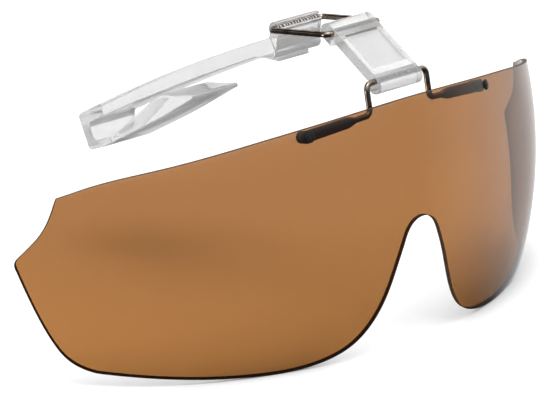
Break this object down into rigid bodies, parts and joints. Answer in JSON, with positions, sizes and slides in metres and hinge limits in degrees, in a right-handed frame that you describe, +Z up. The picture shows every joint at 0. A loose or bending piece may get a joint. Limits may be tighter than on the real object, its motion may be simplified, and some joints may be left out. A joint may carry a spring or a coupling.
{
  "type": "clip-on flip-up lens",
  "caption": "Clip that slides over a cap's brim and carries a one-piece tinted wraparound lens on a hinged link and wire bails, so that the lens flips up.",
  "frame": {"origin": "middle of the closed end of the slot that takes the cap's brim", "axes": "+Z up, -Y forward, the way the lens faces; +X along the three hinge axes, to the wearer's left"},
  "size_m": [0.145, 0.0915, 0.0638],
  "materials": {
    "clear_moulding": "glossy, slightly smoky clear",
    "wire": "bright nickel plate",
    "lens_tint": "glossy brown tint",
    "rivet": "glossy black",
    "spacer": "matt dark grey"
  },
  "bodies": {
    "clip": {"brim_clip": "clear_moulding"},
    "front_bail": {"front_bail": "wire"},
    "link": {"link_arm": "clear_moulding"},
    "lens": {"lens_bail": "wire", "lens_shield": "lens_tint", "rivet_left": "rivet", "rivet_right": "rivet", "spacer_left": "spacer", "spacer_right": "spacer"}
  },
  "joints": [
    {"name": "strap_hinge", "type": "hinge", "parent": "clip", "child": "front_bail", "pos_m": [0, -0.05254, 0.03258], "axis": [1, 0, 0], "range_deg": [-120, 20]},
    {"name": "link_hinge", "type": "hinge", "parent": "front_bail", "child": "link", "pos_m": [0, -0.06831, 0.0346], "axis": [1, 0, 0], "range_deg": [-60, 30]},
    {"name": "lens_flip", "type": "hinge", "parent": "link", "child": "lens", "pos_m": [0, -0.07981, 0.02698], "axis": [1, 0, 0], "range_deg": [-120, 30]}
  ]
}
